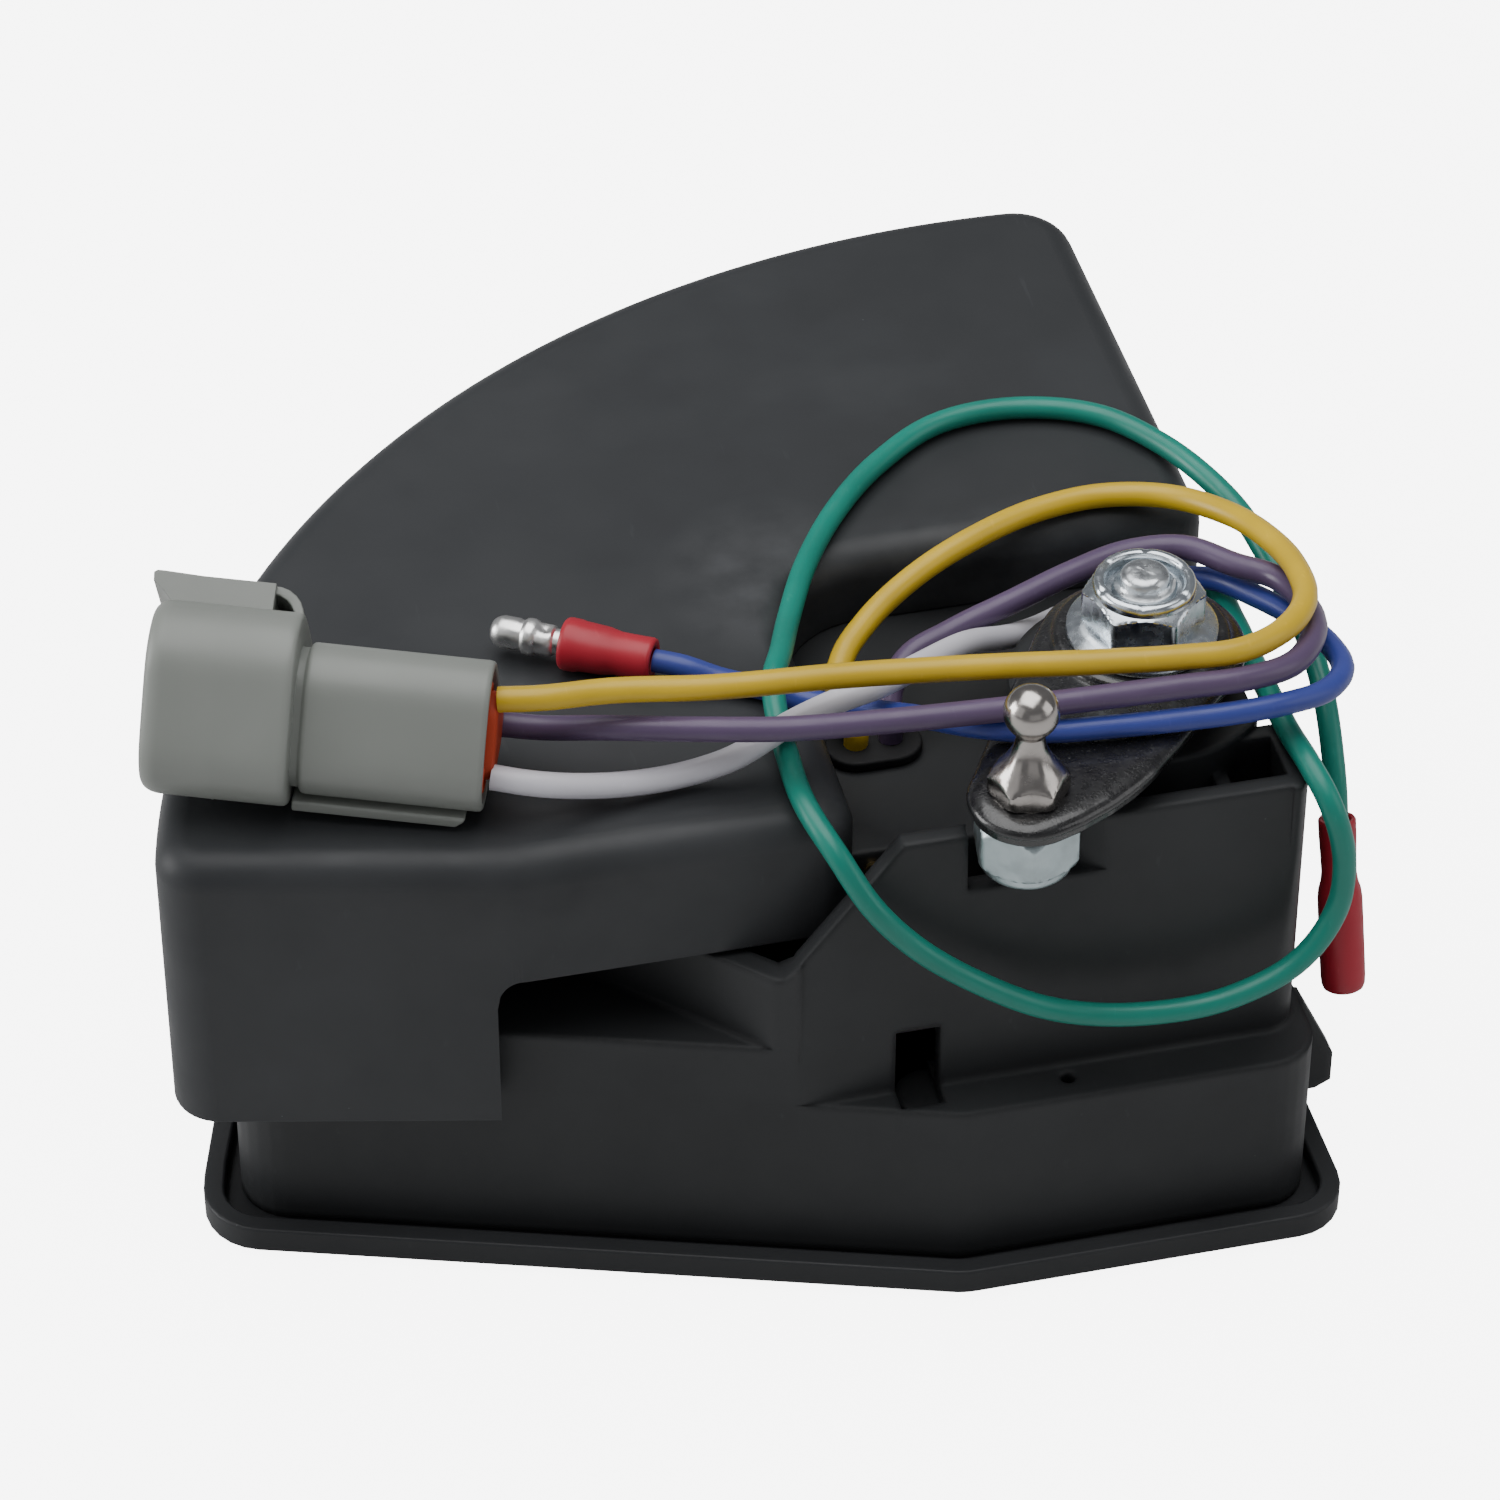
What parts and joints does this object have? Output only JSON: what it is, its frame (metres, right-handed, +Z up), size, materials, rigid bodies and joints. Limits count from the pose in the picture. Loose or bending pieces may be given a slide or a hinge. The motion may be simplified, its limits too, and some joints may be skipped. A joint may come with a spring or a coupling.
{
  "type": "throttle potentiometer",
  "caption": "Throttle potentiometer: sector-shaped black housing and hood, spring-return arm with ball stud on a vertical shaft, and a wire harness with a sealed plug and bullet terminals.",
  "frame": {"origin": "on the flat underside of the base tray, near the middle of its footprint", "axes": "+Z up along the shaft, +X along the straight front wall towards the shaft side, +Y towards the curved back"},
  "size_m": [0.1487, 0.1364, 0.0912],
  "materials": {
    "tray_plastic": "satin",
    "housing_plastic": "satin",
    "hood_plastic": "satin",
    "seal_rubber": "matte",
    "orange_rubber": "matte",
    "zinc_steel": "bright zinc",
    "shaft_steel": "ground",
    "nickel_steel": "satin nickel",
    "spring_steel": "bright",
    "bronze": "sintered",
    "brass": "bright",
    "tinned_brass": "tinned",
    "board": "satin",
    "switch_plastic": "matte",
    "rotor_plastic": "satin",
    "red_plastic": "gloss",
    "arm_casting": "gloss black on a cast surface",
    "yellow_pvc": "satin",
    "purple_pvc": "satin",
    "white_pvc": "satin",
    "blue_pvc": "satin",
    "green_pvc": "satin",
    "plug_plastic": "satin",
    "wedge_plastic": "satin",
    "red_vinyl": "gloss"
  },
  "bodies": {
    "housing_group": {"base_tray": "tray_plastic", "tray_gasket": "seal_rubber", "tray_screws": "zinc_steel", "housing": "housing_plastic", "hood": "hood_plastic", "hood_screws": "zinc_steel", "upper_bush": "bronze", "lower_bush": "bronze", "return_spring": "spring_steel", "resistor_board": "board", "board_screws": "zinc_steel", "board_terminals": "brass", "limit_switch": "switch_plastic", "switch_terminals": "brass", "switch_screws": "zinc_steel", "brass_pin": "brass", "lead_grommet_left": "seal_rubber", "lead_grommet_right": "seal_rubber", "yellow_lead": "yellow_pvc", "purple_lead": "purple_pvc", "white_lead": "white_pvc", "blue_lead": "blue_pvc", "green_lead": "green_pvc", "plug_shell": "plug_plastic", "plug_rear_seal": "orange_rubber", "plug_wedge": "wedge_plastic", "plug_contacts": "brass", "male_bullet_pin": "tinned_brass", "male_bullet_sleeve": "red_vinyl", "female_bullet_sleeve": "red_vinyl", "female_bullet_socket": "brass"},
    "throttle_shaft": {"pivot_shaft": "shaft_steel", "throttle_arm": "arm_casting", "pivot_nut": "zinc_steel", "thrust_washer": "zinc_steel", "ball_stud": "nickel_steel", "ball_stud_nut": "zinc_steel", "retaining_clip": "spring_steel", "wiper_rotor": "rotor_plastic", "wiper_contact": "brass", "switch_cam": "rotor_plastic"},
    "switch_button": {"switch_plunger": "red_plastic"}
  },
  "joints": [
    {"name": "lever_turn", "type": "hinge", "parent": "housing_group", "child": "throttle_shaft", "pos_m": [0.0509, -0.033, 0.07], "axis": [0, 0, 1], "range_deg": [0, 45], "stiffness_Nm_per_rad": 0.15, "springref_deg": -28.65},
    {"name": "switch_travel", "type": "slide", "parent": "housing_group", "child": "switch_button", "axis": [-0.9063, -0.4226, 0], "range_m": [0, 0.001]}
  ],
  "couplings": [
    {"joint": "switch_travel", "follows": "lever_turn", "m_per_rad": 0.00127}
  ]
}
